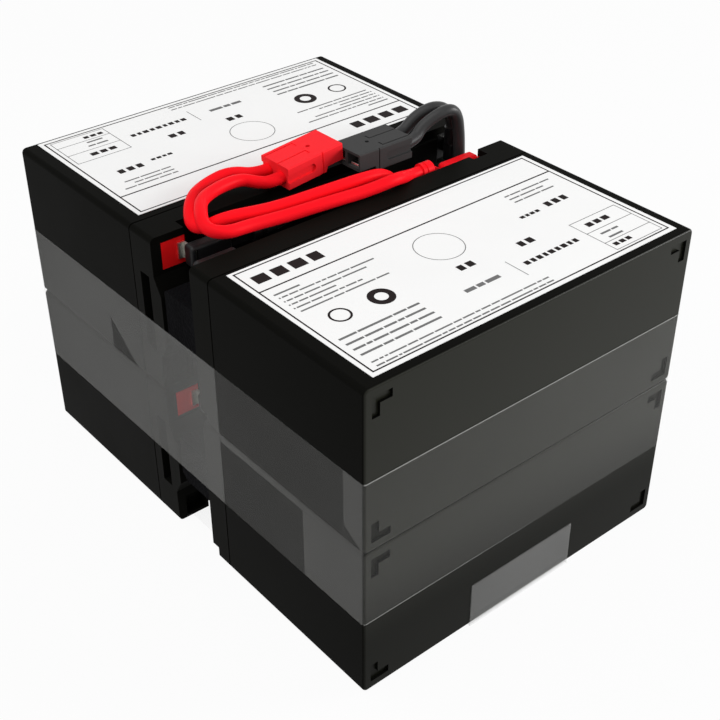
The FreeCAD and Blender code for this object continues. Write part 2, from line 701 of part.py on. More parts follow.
def make_housing(name):
    """Connector housing: two poles side by side, a hood over its open mouths."""
    body = new_body(name)
    half = "HousingLength / 2"
    side = "HousingWidth / 2"
    low = "-HousingHeight / 2"
    high = "HousingHeight / 2"
    step = "HousingLength / 2 - HoodLength"
    profile = new_sketch(body, "side_profile", "XZ_Plane", "0")
    add_outline(profile, [
        (f"-{half}", low), (f"{step} - HoodStepSlope / 2", low),
        (f"{step} + HoodStepSlope / 2", f"{low} + HoodStep"), (half, f"{low} + HoodStep"),
        (half, high), (f"-{half}", high)])
    block = pad(body, "housing_block", profile, "HousingWidth", midplane=True)
    round_edges(body, "long_edges", block,
                lambda edge: runs_along(edge, (1, 0, 0)), "HousingEdge")
    doc.recompute()
    lines = new_sketch(body, "top_groove_outlines", "XY_Plane", high)
    for across in ("WirePitch / 2", "-WirePitch / 2"):
        outer = f"{across} + TopGrooveOffset"
        add_outline(lines, [
            (f"-{half}", outer), (f"-{half}", f"{outer} - TopGrooveWidth"),
            ("TopGrooveEnd - TopGrooveWidth", f"{outer} - TopGrooveWidth"),
            ("TopGrooveEnd - TopGrooveWidth", f"{outer} - TopGrooveLeg"),
            ("TopGrooveEnd", f"{outer} - TopGrooveLeg"), ("TopGrooveEnd", outer)])
    pocket(body, "top_grooves", lines, "TopGrooveDepth")
    mouths = new_sketch(body, "mouth_outlines", "YZ_Plane", half)
    bores = new_sketch(body, "wire_bore_outlines", "YZ_Plane", f"-{half}")
    for across in ("WirePitch / 2", "-WirePitch / 2"):
        add_rectangle(mouths, f"{across} - MouthWidth / 2", f"{across} + MouthWidth / 2",
                      f"{high} - MouthRoof - MouthHeight", f"{high} - MouthRoof")
        add_circle(bores, across, "WireRise", LEAD_BORE)
    pocket(body, "mouths", mouths, "MouthDepth")
    pocket(body, "wire_bores", bores, "WireBoreDepth", reverse=True)
    pin_hole = new_sketch(body, "pin_hole_outline", "XY_Plane", high)
    add_circle(pin_hole, "PinHolePlace", "0", "PinHoleDiameter")
    pocket(body, "pin_hole", pin_hole, "PinHoleDepth")
    for label, edge, inwards in (("front", f"-{side}", True), ("back", side, False)):
        groove = new_sketch(body, f"{label}_groove_outline", "XZ_Plane", f"-({edge})")
        add_rectangle(groove, f"-{half}", f"GrooveLength - GrooveWidth / 2 - {half}",
                      "GrooveRise - GrooveWidth / 2", "GrooveRise + GrooveWidth / 2")
        pocket(body, f"{label}_groove", groove, "GrooveDepth", reverse=not inwards)
        tip = new_sketch(body, f"{label}_groove_tip", "XZ_Plane", f"-({edge})")
        add_circle(tip, f"GrooveLength - GrooveWidth / 2 - {half}", "GrooveRise", "GrooveWidth")
        pocket(body, f"{label}_groove_end", tip, "GrooveDepth", reverse=not inwards)
        slit = new_sketch(body, f"{label}_slit_outline", "XZ_Plane", f"-({edge})")
        add_rectangle(slit, "SeamSlitPlace - SeamSlitWidth / 2",
                      "SeamSlitPlace + SeamSlitWidth / 2", low, high)
        last = pocket(body, f"{label}_slit", slit, "SeamSlitDepth", reverse=not inwards)
    body.Tip = last
    return body


def make_contact(name, across):
    """Contact: a flat silvered tongue on the floor of one mouth."""
    body = new_body(name)
    floor = "HousingHeight / 2 - MouthRoof - MouthHeight"
    front = "HousingLength / 2 - ContactSetback"
    outline = new_sketch(body, "contact_outline", "XY_Plane", floor)
    add_rectangle(outline, f"{front} - ContactLength", front,
                  f"{across} - ContactWidth / 2", f"{across} + ContactWidth / 2")
    tongue = pad(body, "contact_tongue", outline, "ContactThickness")
    body.Tip = round_edges(body, "contact_nose", tongue,
                           lambda edge: runs_along(edge, (0, 1, 0))
                           and edge_middle(edge).x > value(front) - 0.01
                           and edge_middle(edge).z > value(floor) + 0.01,
                           "ContactThickness * 0.8")
    return body


def above_pack(spot):
    """A spot whose height is measured from the upper faces of the pack."""
    across, along, height = spot
    return Vector(across, along, value(PACK_TOP) + height)


def make_connector(colour):
    """A housing and its two contacts, laid where the leads hold them."""
    name = f"{colour}_housing"
    centre, angles = HOUSING_PLACES[name]
    pieces = [make_housing(name), make_contact(f"{colour}_contact_a", "-WirePitch / 2"),
              make_contact(f"{colour}_contact_b", "WirePitch / 2")]
    for piece in pieces:
        piece.Placement = Placement(above_pack(centre), Rotation(*angles))
    return pieces


def lead_path(name, points):
    """Join straight runs through the points by tangent arcs, as one wire."""
    edges = []
    radii = []
    reached = points[0]
    for before, corner, after in zip(points, points[1:], points[2:]):
        come = corner - before
        leave = after - corner
        half_turn = come.getAngle(leave) / 2
        cut = ARC_SHARE * min(come.Length, leave.Length)
        come.normalize()
        leave.normalize()
        start = corner - come * cut
        finish = corner + leave * cut
        radius = cut / math.tan(half_turn)
        inward = (leave - come).normalize()
        middle = corner + inward * (radius / math.cos(half_turn) - radius)
        edges.append(Part.LineSegment(reached, start).toShape())
        edges.append(Part.Arc(start, middle, finish).toShape())
        radii.append(round(radius, 1))
        reached = finish
    edges.append(Part.LineSegment(reached, points[-1]).toShape())
    wire = Part.Wire(edges)
    print(name, "length", round(wire.Length, 1), "radii", radii)
    return wire


def make_lead(name, points):
    """A lead: a round section swept along its path."""
    wire = lead_path(name, points)
    heading = points[1] - points[0]
    section = Part.Wire(Part.makeCircle(value("LeadDiameter") / 2, points[0], heading))
    lead = doc.addObject("Part::Feature", name)
    lead.Label = name
    lead.Shape = wire.makePipeShell([section], True, False)
    expected = math.pi * value("LeadDiameter") ** 2 / 4 * wire.Length
    if abs(lead.Shape.Volume - expected) > 0.01 * expected:
        raise RuntimeError(f"{name}: the tube's volume is off")
    lead.Placement = Placement()
    return lead


def housing_exit(name, side):
    """The bottom of a housing's wire bore, and a point straight out of it."""
    housing = doc.getObject(name).Placement
    half = value("HousingLength") / 2
    across = side * value("WirePitch") / 2
    up = value("WireRise")
    return [housing.multVec(Vector(along, across, up)) for along in
            (value("WireBoreDepth") - half, -half - value("LeadStraight"))]


def flag_exit(name):
    """The bottom of a receptacle's bore, and a point straight out of it."""
    flag = doc.getObject(name)
    straight = value("LeadStraight")
    middle = value(SLEEVE_MIDDLE)
    if "far" in name and "negative" in name:
        bottom = value("UprightSleeveHeight / 2 + UprightBarrelLength - LeadBoreDepth")
        out = bottom + value("LeadBoreDepth") + straight
        places = [Vector(value("UprightTabOffset"), middle, level) for level in (bottom, out)]
    else:
        end = value("SleeveTabPlace - SleeveLength - NeckLength - BarrelLength")
        bent = name == "near_upper_positive_flag"
        up = value("BentBarrelUp") if bent else 0
        down = value("BentBarrelDown") if bent else 0
        places = [Vector(along, middle - down, up)
                  for along in (end + value("LeadBoreDepth"), end - straight)]
    return [flag.Placement.multVec(spot) for spot in places]


def make_leads():
    """The four free leads and the two jumpers in the gap."""
    leads = []
    for name, (housing, side, flag, bends) in LEADS.items():
        points = housing_exit(housing, side)
        points += [above_pack(bend) for bend in bends]
        points += reversed(flag_exit(flag))
        leads.append(make_lead(name, points))
    for name, (start, finish) in JUMPERS.items():
        level = flag_exit(start)[0].z
        points = flag_exit(start)
        points += [Vector(across, along, level) for across, along in JUMPER_BENDS]
        points += reversed(flag_exit(finish))
        leads.append(make_lead(name, points))
    return leads


def check_and_export(pieces):
    """Stop on any failed object, then write one file for each node."""
    doc.recompute()
    for item in doc.Objects:
        if "Invalid" in item.State or "Error" in item.State:
            raise RuntimeError(f"{item.Name} of {item.Label} failed: {item.State}")
    for piece in pieces:
        if piece.Shape.isNull() or not piece.Shape.isValid():
            raise RuntimeError(f"{piece.Label} is not a valid shape")
        if len(piece.Shape.Solids) != 1:
            raise RuntimeError(f"{piece.Label} has {len(piece.Shape.Solids)} solids")
    os.makedirs("parts", exist_ok=True)
    for piece in pieces:
        piece.Shape.exportStep(f"parts/{piece.Label}.step")
    print(len(pieces), "nodes written")


pieces = []
for stack in ("near", "far"):
    for level, bottom in (("upper", UPPER), ("lower", LOWER)):
        pieces += make_battery(stack, level, bottom)
pieces.append(make_label("near_label", "NearLabelInset", "NearLabelShift"))
pieces.append(make_label("far_label", "FarLabelInset", "FarLabelShift"))
pieces.append(make_band())
pieces.append(make_strap())
pieces.append(make_gap_film())
pieces.append(make_spacer("spacer_upper", UPPER, False))
pieces.append(make_spacer("spacer_lower", LOWER, True))
pieces += make_connector("red")
pieces += make_connector("grey")
doc.recompute()
pieces += make_leads()
check_and_export(pieces)
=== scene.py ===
"""Looks for the battery cartridge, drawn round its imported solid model.

Metres, in the same frame as the solids: +X along the batteries, -Y to the
front and +Z up, with the origin in the middle of the underside.
"""

import json
import math

import bmesh
import bpy
from mathutils import Euler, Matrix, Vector


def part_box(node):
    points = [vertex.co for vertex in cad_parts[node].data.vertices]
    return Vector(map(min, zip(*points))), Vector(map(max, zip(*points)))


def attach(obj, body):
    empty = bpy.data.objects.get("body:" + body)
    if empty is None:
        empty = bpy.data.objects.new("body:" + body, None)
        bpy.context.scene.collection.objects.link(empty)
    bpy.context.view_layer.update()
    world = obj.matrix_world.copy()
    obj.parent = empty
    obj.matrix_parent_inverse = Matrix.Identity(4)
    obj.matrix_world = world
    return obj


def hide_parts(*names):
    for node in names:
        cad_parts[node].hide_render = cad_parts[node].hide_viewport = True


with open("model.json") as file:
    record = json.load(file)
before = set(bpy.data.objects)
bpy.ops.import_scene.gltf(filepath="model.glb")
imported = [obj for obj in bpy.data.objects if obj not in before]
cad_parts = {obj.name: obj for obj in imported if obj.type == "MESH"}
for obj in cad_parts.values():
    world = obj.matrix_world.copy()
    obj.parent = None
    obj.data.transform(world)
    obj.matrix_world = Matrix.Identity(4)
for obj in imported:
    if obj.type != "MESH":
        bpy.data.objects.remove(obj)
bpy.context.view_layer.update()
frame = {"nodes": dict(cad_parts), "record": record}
nodes = frame["nodes"]
scene = bpy.context.scene
bpy.ops.object.select_all(action="DESELECT")

MM = 0.001

# heights and depths that the finishes go by, in metres
BOTTOM_START, BOTTOM_FULL = 0.1000, 0.1005     # where the battery bottoms begin, front and back
MARK_SUNK, MARK_FLUSH = 0.1042, 0.1046         # floor and rim of the angle marks in them
MARK_COVER = (0.0335, 0.0955)                  # marks between these heights lie under tape and are painted darker as painted shade
FOOT_SHADE = (0.022, 0.060)                    # painted shade: the bottoms are painted darker below here, near the floor
TAPE_EDGES = (0.0348, 0.0948)                  # the tape's cut edges start here
TAPE_END = 0.0750                              # the tape's end faces lie beyond this
SEAM_LOW, SEAM_HIGH = 0.0640, 0.0670           # the bridged strip along the seam
RIM_FADE = (-0.06, 0.02)                       # the painted highlight on the lower cut edge fades between these
MASK_RAMP = 0.0003                             # how soft the edge of a mask is

NOISE_RANGE = (0.3, 0.7)                       # where nearly all of a noise lies
RIM_HIGHLIGHT = 0.45                                # how bright the painted highlight on the tape's cut edges is
FILM_RIPPLE = 0.0001
TAPE_ROUND = 1.3 * MM
TAPE_WALL = 0.18 * MM
PRINT_LIFT = 0.03 * MM


# shader groups

def new_group(name, inputs, outputs):
    """A shader node group with named number inputs and named outputs."""
    group = bpy.data.node_groups.new(name, "ShaderNodeTree")
    for label, start in inputs:
        socket = group.interface.new_socket(label, in_out="INPUT", socket_type="NodeSocketFloat")
        socket.default_value = start
    for label, kind in outputs:
        group.interface.new_socket(label, in_out="OUTPUT", socket_type=kind)
    return group, group.nodes.new("NodeGroupInput"), group.nodes.new("NodeGroupOutput")


def add_noise(tree, scale, detail=3.0, roughness=0.55, where=None):
    """A noise texture on Object coordinates."""
    noise = tree.nodes.new("ShaderNodeTexNoise")
    noise.inputs["Detail"].default_value = detail
    noise.inputs["Roughness"].default_value = roughness
    if where is None:
        where = tree.nodes.new("ShaderNodeTexCoord").outputs["Object"]
    tree.links.new(where, noise.inputs["Vector"])
    if isinstance(scale, (int, float)):
        noise.inputs["Scale"].default_value = scale
    else:
        tree.links.new(scale, noise.inputs["Scale"])
    return noise.outputs["Fac"]


def add_math(tree, kind, *values):
    """A Math node on sockets or numbers."""
    node = tree.nodes.new("ShaderNodeMath")
    node.operation = kind
    for slot, given in zip(node.inputs, values):
        if isinstance(given, (int, float)):
            slot.default_value = given
        else:
            tree.links.new(given, slot)
    return node.outputs[0]


def add_span(tree, given, low, high, out_low, out_high, smooth=False):
    """Map a range of a value on to another, held at both ends."""
    node = tree.nodes.new("ShaderNodeMapRange")
    node.interpolation_type = "SMOOTHSTEP" if smooth else "LINEAR"
    tree.links.new(given, node.inputs["Value"])
    for label, number in (("From Min", low), ("From Max", high),
                          ("To Min", out_low), ("To Max", out_high)):
        if isinstance(number, (int, float)):
            node.inputs[label].default_value = number
        else:
            tree.links.new(number, node.inputs[label])
    return node.outputs["Result"]


def make_grain_group():
    """Fine moulded grain: a height, a tone and a roughness over the surface."""
    group, given, out = new_group(
        "moulded_grain",
        [("Grain Size", 0.0006), ("Tone Spread", 0.15), ("Roughness Low", 0.4),
         ("Roughness High", 0.5)],
        [("Height", "NodeSocketFloat"), ("Tone", "NodeSocketFloat"),
         ("Roughness", "NodeSocketFloat")])
    fine = add_noise(group, add_math(group, "DIVIDE", 1.0, given.outputs["Grain Size"]), 2.0)
    broad = add_noise(group, 28.0, 4.0)
    group.links.new(fine, out.inputs["Height"])
    low = add_math(group, "SUBTRACT", 1.0, given.outputs["Tone Spread"])
    high = add_math(group, "ADD", 1.0, given.outputs["Tone Spread"])
    group.links.new(add_span(group, broad, *NOISE_RANGE, low, high), out.inputs["Tone"])
    group.links.new(add_span(group, broad, *NOISE_RANGE, given.outputs["Roughness Low"],
                             given.outputs["Roughness High"]), out.inputs["Roughness"])
    return group


def make_rub_group():
    """Rubbed places: a mask of thin scattered scuffs and soft patches."""
    group, given, out = new_group(
        "rub_marks", [("Amount", 0.5), ("Length", 0.012)], [("Mask", "NodeSocketFloat")])
    place = group.nodes.new("ShaderNodeTexCoord").outputs["Object"]
    stretch = group.nodes.new("ShaderNodeMapping")
    stretch.inputs["Scale"].default_value = (1.0, 6.0, 9.0)
    stretch.inputs["Rotation"].default_value = (0.3, 0.2, 0.5)
    group.links.new(place, stretch.inputs["Vector"])
    size = add_math(group, "DIVIDE", 1.0, given.outputs["Length"])
    streaks = add_noise(group, size, 5.0, 0.7, stretch.outputs["Vector"])
    patches = add_noise(group, 35.0, 3.0)
    lines = add_span(group, streaks, 0.62, 0.72, 0.0, 1.0)
    soft = add_span(group, patches, 0.45, 0.7, 0.0, 1.0, smooth=True)
    both = add_math(group, "MULTIPLY", lines, soft)
    group.links.new(add_math(group, "MULTIPLY", both, given.outputs["Amount"]),
                    out.inputs["Mask"])
    return group


def make_smudge_group():
    """Clear film: faint smudges and a slow ripple."""
    group, given, out = new_group(
        "film_smudge", [("Spread", 0.06)],
        [("Tone", "NodeSocketFloat"), ("Height", "NodeSocketFloat")])
    low = add_math(group, "SUBTRACT", 1.0, given.outputs["Spread"])
    high = add_math(group, "ADD", 1.0, given.outputs["Spread"])
    group.links.new(add_span(group, add_noise(group, 16.0, 3.0), *NOISE_RANGE, low, high),
                    out.inputs["Tone"])
    group.links.new(add_noise(group, 45.0, 2.0), out.inputs["Height"])
    return group


GRAIN = make_grain_group()
RUB = make_rub_group()
SMUDGE = make_smudge_group()


# finishes

def new_material(name, colour, roughness, **settings):
    """A material with one Principled shader, its constants on its own sockets."""
    material = bpy.data.materials.new(name)
    material.use_nodes = True
    tree = material.node_tree
    shader = tree.nodes["Principled BSDF"]
    shader.inputs["Base Color"].default_value = (*colour, 1.0)
    shader.inputs["Roughness"].default_value = roughness
    for label, number in settings.items():
        socket = label.replace("_", " ").title().replace("Ior", "IOR")
        shader.inputs[socket].default_value = number
    return material, tree, shader


def use_group(tree, group, **values):
    """Place a group in a material with its own values."""
    node = tree.nodes.new("ShaderNodeGroup")
    node.node_tree = group
    for label, number in values.items():
        node.inputs[label.replace("_", " ").title()].default_value = number
    return node


def scale_colour(tree, colour, tone):
    """A colour lightened and darkened by a tone."""
    node = tree.nodes.new("ShaderNodeVectorMath")
    node.operation = "SCALE"
    node.inputs[0].default_value = colour
    tree.links.new(tone, node.inputs["Scale"])
    return node.outputs["Vector"]


def tint(tree, shader, colour, tone):
    """Base Color: a colour lightened and darkened by a tone."""
    shade = scale_colour(tree, colour, tone)
    tree.links.new(shade, shader.inputs["Base Color"])
    return shade


def mix_colours(tree, mask, under, over):
    """One colour laid over another by a mask."""
    node = tree.nodes.new("ShaderNodeMix")
    node.data_type = "RGBA"
    tree.links.new(mask, node.inputs["Factor"])
    tree.links.new(under, node.inputs["A"])
    if isinstance(over, tuple):
        node.inputs["B"].default_value = over
    else:
        tree.links.new(over, node.inputs["B"])
    return node.outputs["Result"]


def bump(tree, shader, height, distance):
    """Turn a height into the shader's normal."""
    node = tree.nodes.new("ShaderNodeBump")
    node.inputs["Distance"].default_value = distance
    tree.links.new(height, node.inputs["Height"])
    tree.links.new(node.outputs["Normal"], shader.inputs["Normal"])


def object_axes(tree):
    """The three Object coordinates as sockets."""
    axes = tree.nodes.new("ShaderNodeSeparateXYZ")
    tree.links.new(tree.nodes.new("ShaderNodeTexCoord").outputs["Object"],
                   axes.inputs["Vector"])
    return axes.outputs["X"], axes.outputs["Y"], axes.outputs["Z"]


def above(tree, given, level):
    """How far a value lies over a level."""
    return add_math(tree, "SUBTRACT", given, level)


def below(tree, given, level):
    """How far a value lies under a level."""
    return add_math(tree, "SUBTRACT", level, given)


def add_region(tree, *depths):
    """A mask that is 1 where every one of the depths is over nought."""
    least = depths[0]
    for depth in depths[1:]:
        least = add_math(tree, "MINIMUM", least, depth)
    return add_span(tree, least, 0.0, MASK_RAMP, 0.0, 1.0)


def make_plastic(name, colour, low, high, grain, depth, spread=0.12, scuffs=0.0, **settings):
    """Moulded plastic: grain, uneven sheen and, where asked, pale scuffs."""
    material, tree, shader = new_material(name, colour, (low + high) / 2, **settings)
    node = use_group(tree, GRAIN, grain_size=grain, tone_spread=spread, roughness_low=low,
                     roughness_high=high)
    shade = tint(tree, shader, colour, node.outputs["Tone"])
    tree.links.new(node.outputs["Roughness"], shader.inputs["Roughness"])
    bump(tree, shader, node.outputs["Height"], depth)
    if scuffs:
        rub = use_group(tree, RUB, amount=scuffs)
        pale = (*[min(1.0, part * 3 + 0.02) for part in colour], 1.0)
        tree.links.new(mix_colours(tree, rub.outputs["Mask"], shade, pale),
                       shader.inputs["Base Color"])
    return material


def find_bottoms(tree, depth):
    """The battery bottoms, by which way the surface looks and how far out it lies."""
    turn = tree.nodes.new("ShaderNodeSeparateXYZ")
    tree.links.new(tree.nodes.new("ShaderNodeTexCoord").outputs["Normal"],
                   turn.inputs["Vector"])
    facing = add_span(tree, add_math(tree, "ABSOLUTE", turn.outputs["Y"]), 0.5, 0.85, 0.0, 1.0)
    far_out = add_span(tree, depth, BOTTOM_START, BOTTOM_FULL, 0.0, 1.0)
    return add_math(tree, "MULTIPLY", facing, far_out)


def make_case_plastic(name, sides, bottom):
    """Case plastic: near-black sides and, as painted light, a lighter olive colour on the
    battery bottoms, with painted shade towards the foot and in the covered marks; finely
    grained.
    """
    material = make_plastic(name, sides, 0.34, 0.42, 0.00045, 0.00001, spread=0.05,
                            specular_ior_level=0.006, coat_roughness=0.32, coat_ior=1.25)
    tree = material.node_tree
    shader = tree.nodes["Principled BSDF"]
    shade = shader.inputs["Base Color"].links[0].from_socket
    across, up = object_axes(tree)[1:]
    depth = add_math(tree, "ABSOLUTE", across)
    bottoms = find_bottoms(tree, depth)
    covered = add_region(tree, above(tree, up, MARK_COVER[0]), below(tree, up, MARK_COVER[1]))
    # painted shade: the sunk floors of the marks under the tape are darkened
    sunk = add_math(tree, "MULTIPLY", covered,
                    add_span(tree, depth, MARK_SUNK, MARK_FLUSH, 1.0, 0.0))
    # painted shade: the bottoms darken towards the foot
    rise = add_span(tree, up, *FOOT_SHADE, 0.38, 1.0, smooth=True)
    level = add_math(tree, "MULTIPLY", rise, add_span(tree, sunk, 0.0, 1.0, 1.0, 0.35))
    # painted shade from the foot and the covered marks, with a little random tone
    patches = add_math(tree, "MULTIPLY", level,
                       add_span(tree, add_noise(tree, 14.0, 3.0), *NOISE_RANGE, 0.95, 1.05))
    # painted light: the bottoms, turned to the front and back, get a lighter olive colour than
    # the ends
    painted_light_bottom = scale_colour(tree, bottom, patches)
    tree.links.new(mix_colours(tree, bottoms, shade, painted_light_bottom), shader.inputs["Base Color"])
    # the coat on the bottoms is thinned with the same painted shade, towards the foot and in the
    # covered marks
    sheen = add_math(tree, "MULTIPLY", bottoms, add_math(tree, "MULTIPLY", level, 0.80))
    tree.links.new(sheen, shader.inputs["Coat Weight"])
    return material


def make_metal(name, colour, roughness):
    """Tinned or silvered metal with fine drawn lines."""
    material, tree, shader = new_material(name, colour, roughness, metallic=1.0)
    place = tree.nodes.new("ShaderNodeTexCoord").outputs["Object"]
    stretch = tree.nodes.new("ShaderNodeMapping")
    stretch.inputs["Scale"].default_value = (60.0, 1.0, 60.0)
    tree.links.new(place, stretch.inputs["Vector"])
    lines = add_noise(tree, 45.0, 3.0, 0.6, stretch.outputs["Vector"])
    tree.links.new(add_span(tree, lines, *NOISE_RANGE, roughness - 0.08, roughness + 0.12),
                   shader.inputs["Roughness"])
    tint(tree, shader, colour, add_span(tree, lines, *NOISE_RANGE, 0.88, 1.08))
    bump(tree, shader, lines, 0.00002)
    return material


def make_foam(name, colour):
    """Closed-cell foam: small round cells in a dull skin."""
    material, tree, shader = new_material(name, colour, 0.9, specular_ior_level=0.02)
    cells = tree.nodes.new("ShaderNodeTexVoronoi")
    cells.inputs["Scale"].default_value = 900.0
    tree.links.new(tree.nodes.new("ShaderNodeTexCoord").outputs["Object"],
                   cells.inputs["Vector"])
    broad = add_noise(tree, 60.0, 3.0)
    tint(tree, shader, colour, add_span(tree, broad, *NOISE_RANGE, 0.75, 1.25))
    bump(tree, shader, cells.outputs["Distance"], 0.0003)
    return material


def stuck_down(tree, along, across, up):
    """Where the tape has wetted the plastic under it, and so looks clearer."""
    end = above(tree, add_math(tree, "ABSOLUTE", along), TAPE_END)
    # the right end has the same patches as the left one, turned about
    side = add_math(tree, "MULTIPLY", across,
                    add_math(tree, "MULTIPLY", add_math(tree, "SIGN", along), -1.0))
    steep = add_math(tree, "MULTIPLY_ADD", side, -0.829, up)
    slant = add_math(tree, "MULTIPLY_ADD", side, -0.59, up)
    patches = [
        # near stack, upper battery, then its corner, cut off on a slant
        (end, above(tree, side, -0.0953), below(tree, side, -0.0249),
         above(tree, up, SEAM_HIGH)),
        (end, above(tree, side, -0.1033), below(tree, side, -0.0951),
         above(tree, up, SEAM_HIGH), below(tree, slant, 0.1291)),
        # near stack, lower battery, all but its corner
        (end, above(tree, side, -0.0735), below(tree, side, -0.0249),
         below(tree, up, SEAM_LOW)),
        # far stack, one small triangle
        (end, below(tree, side, 0.0472), above(tree, up, 0.0668),
         below(tree, steep, 0.0425)),
        # the whole front and back
        (above(tree, add_math(tree, "ABSOLUTE", across), MARK_SUNK),),
    ]
    mask = add_region(tree, *patches[0])
    for patch in patches[1:]:
        mask = add_math(tree, "MAXIMUM", mask, add_region(tree, *patch))
    return mask


def painted_rim_highlight(tree, along, across, up):
    """Painted highlight on the tape's cut edges at the front and back, the lower one fading to
    the right.
    """
    face = above(tree, add_math(tree, "ABSOLUTE", across), MARK_FLUSH)
    upper = add_region(tree, face, above(tree, up, TAPE_EDGES[1]))
    lower = add_math(tree, "MULTIPLY",
                     add_region(tree, face, below(tree, up, TAPE_EDGES[0])),
                     add_span(tree, along, *RIM_FADE, 1.0, 0.1))
    return add_math(tree, "MULTIPLY", add_math(tree, "MAXIMUM", upper, lower), RIM_HIGHLIGHT)


def make_tape(name, colour, stuck_veil, loose_veil, roughness):
    """Clear tape: milky where it bridges, with painted reflection varying that veil from front
    to back, clearer where it has stuck, and a painted highlight on its cut edges.
    """
    material, tree, shader = new_material(name, colour, roughness, specular_ior_level=0.3)
    along, across, up = object_axes(tree)
    smudges = use_group(tree, SMUDGE)
    # painted reflection: the loose veil is thickest a little in front of the middle, thinner
    # towards the front and back
    bridging_and_painted_reflection = add_math(tree, "MINIMUM",
                        add_span(tree, across, -0.09, -0.02, loose_veil * 0.86,
                                 loose_veil * 1.12),
                        add_span(tree, across, -0.03, 0.105, loose_veil * 1.12,
                                 loose_veil * 0.88))
    loose = add_math(tree, "MULTIPLY", bridging_and_painted_reflection, smudges.outputs["Tone"])
    spread = add_math(tree, "MAXIMUM",
                      add_span(tree, along, -0.0756, -0.0752, stuck_veil * 1.1,
                               stuck_veil * 0.6),
                      add_span(tree, along, -0.075, 0.075, stuck_veil * 0.6, stuck_veil))
    stuck = add_math(tree, "MULTIPLY", smudges.outputs["Tone"], spread)
    mix = tree.nodes.new("ShaderNodeMix")
    tree.links.new(stuck_down(tree, along, across, up), mix.inputs["Factor"])
    tree.links.new(loose, mix.inputs["A"])
    tree.links.new(stuck, mix.inputs["B"])
    # painted highlight: the cut edges get a brighter veil
    veil = add_math(tree, "MAXIMUM", mix.outputs["Result"], painted_rim_highlight(tree, along, across, up))
    hidden = tree.nodes.new("ShaderNodeNewGeometry").outputs["Backfacing"]
    seen = add_math(tree, "SUBTRACT", 1.0, hidden)
    tree.links.new(add_math(tree, "MULTIPLY", veil, seen), shader.inputs["Alpha"])
    bump(tree, shader, smudges.outputs["Height"], FILM_RIPPLE)
    return material


def make_film(name, colour, veil, roughness):
    """Thicker clear film: an even milky veil with faint rubbed lines."""
    material, tree, shader = new_material(name, colour, roughness, specular_ior_level=0.3)
    smudges = use_group(tree, SMUDGE)
    rub = use_group(tree, RUB, amount=0.25, length=0.006)
    even = add_math(tree, "MULTIPLY", smudges.outputs["Tone"], veil)
    tree.links.new(add_math(tree, "MULTIPLY_ADD", rub.outputs["Mask"], veil, even),
                   shader.inputs["Alpha"])
    bump(tree, shader, smudges.outputs["Height"], FILM_RIPPLE)
    return material


def make_sheath(name, colour, low, high, **settings):
    """Soft wire insulation, a little uneven along its length."""
    return make_plastic(name, colour, low, high, 0.0011, 0.00003, spread=0.06, **settings)


# the second colour is painted light: the battery bottoms lighter and more olive than the ends
CASE = make_case_plastic("case_plastic", (0.0050, 0.0050, 0.0043), (0.0118, 0.0124, 0.0080))
LID = make_plastic("lid_plastic", (0.0045, 0.0045, 0.0037), 0.36, 0.46, 0.00045, 0.00001,
                   spread=0.08, scuffs=0.05, specular_ior_level=0.008)
COVER = make_plastic("vent_cover_plastic", (0.0050, 0.0050, 0.0044), 0.42, 0.52, 0.0006,
                     0.00002, spread=0.08, specular_ior_level=0.012)
RED_RESIN = make_plastic("red_post_resin", (0.86, 0.010, 0.012), 0.25, 0.35, 0.002, 0.00005,
                         spread=0.06, specular_ior_level=0.1)
BLACK_RESIN = make_plastic("black_post_resin", (0.007, 0.007, 0.007), 0.25, 0.4, 0.002, 0.0001,
                           specular_ior_level=0.1)
TINNED = make_metal("tinned_tab", (0.66, 0.65, 0.60), 0.32)
SILVERED = make_metal("silvered_contact", (0.75, 0.74, 0.70), 0.25)
RED_BOOT = make_plastic("red_boot", (0.95, 0.010, 0.018), 0.32, 0.42, 0.0012, 0.00002,
                        spread=0.04, specular_ior_level=0.04)
BLACK_BOOT = make_plastic("black_boot", (0.008, 0.008, 0.0085), 0.3, 0.42, 0.0009, 0.00008,
                          specular_ior_level=0.2)
RED_SHEATH = make_sheath("red_sheath", (0.99, 0.0080, 0.0160), 0.34, 0.42,
                         specular_ior_level=0.03)
BLACK_SHEATH = make_sheath("black_sheath", (0.032, 0.032, 0.0325), 0.30, 0.40,
                           specular_ior_level=0.2)
RED_SHELL = make_plastic("red_shell", (0.98, 0.023, 0.032), 0.38, 0.46, 0.0009, 0.00002,
                         spread=0.03, specular_ior_level=0.04)
GREY_SHELL = make_plastic("grey_shell", (0.045, 0.045, 0.045), 0.42, 0.52, 0.0009, 0.00002,
                          spread=0.06, specular_ior_level=0.04)
PAPER = make_plastic("label_paper", (0.91, 0.91, 0.905), 0.5, 0.6, 0.0008, 0.00001,
                     spread=0.01, specular_ior_level=0.1)
FOAM = make_foam("black_foam", (0.0055, 0.0055, 0.0062))
TAPE = make_tape("clear_tape", (0.64, 0.64, 0.62), 0.074, 0.185, 0.3)
FILM = make_film("clear_film", (0.66, 0.66, 0.65), 0.215, 0.25)
THIN_FILM = make_film("thin_clear_film", (0.66, 0.66, 0.65), 0.04, 0.25)

FINISHES = {
    "case": CASE, "lid": LID, "vent_cover": COVER, "positive_base": RED_RESIN,
    "negative_base": BLACK_RESIN, "tab": TINNED, "red_insulation": RED_BOOT,
    "black_insulation": BLACK_BOOT, "red_wire": RED_SHEATH, "black_wire": BLACK_SHEATH,
    "paper": PAPER, "tape": TAPE, "film": FILM, "foam": FOAM, "red_housing": RED_SHELL,
    "grey_housing": GREY_SHELL, "contact": SILVERED,
}


def finish_nodes():
    """Give every solid the finish of its slot."""
    for row in frame["record"]["subparts"]:
        node = nodes[row["node"]]
        node.data.materials.clear()
        node.data.materials.append(FINISHES[row["material_slot"]])
    nodes["gap_film"].data.materials[0] = THIN_FILM


finish_nodes()


# tape

